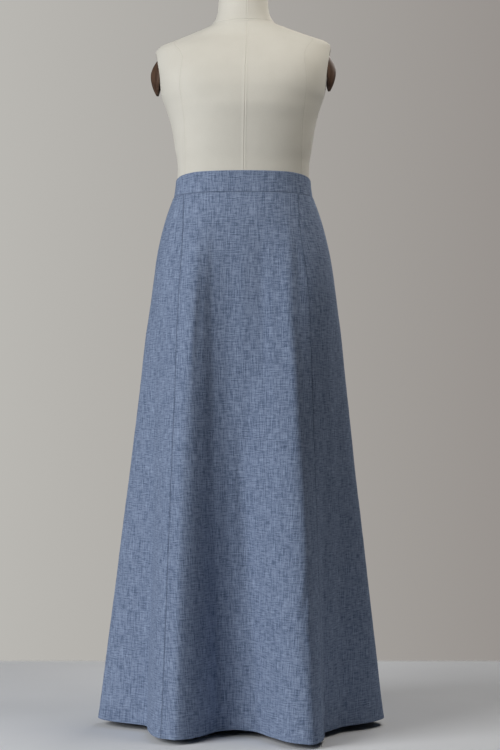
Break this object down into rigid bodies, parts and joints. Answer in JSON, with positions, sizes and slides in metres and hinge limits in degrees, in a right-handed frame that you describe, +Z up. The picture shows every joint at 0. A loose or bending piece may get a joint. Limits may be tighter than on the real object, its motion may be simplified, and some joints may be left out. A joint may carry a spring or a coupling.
{
  "type": "long flared skirt on a dress form",
  "caption": "Floor-length flared skirt with gored panels and a plain waistband, gathered behind, on a limbless cloth-covered dress form with a flat cross base.",
  "frame": {"origin": "centre of the base's flat underside, on the floor under the pole", "axes": "+Z up along the pole, -Y out of the front of the skirt, +X to the wearer's left"},
  "size_m": [0.5423, 0.4908, 1.3963],
  "materials": {
    "linen": "matte blue chambray linen, plain weave with slubs",
    "form_cover": "matte ivory cotton cover, stretched smooth",
    "stained_wood": "satin brown",
    "stand_steel": "satin black"
  },
  "bodies": {
    "root": {"front_panel": "linen", "side_front_left": "linen", "side_front_right": "linen", "side_back_left": "linen", "side_back_right": "linen", "back_panel": "linen", "waistband_front": "linen", "waistband_back": "linen", "form_body": "form_cover", "neck_cap": "stained_wood", "arm_plate_left": "stained_wood", "arm_plate_right": "stained_wood", "stand_pole": "stand_steel", "stand_base": "stand_steel"}
  },
  "joints": []
}
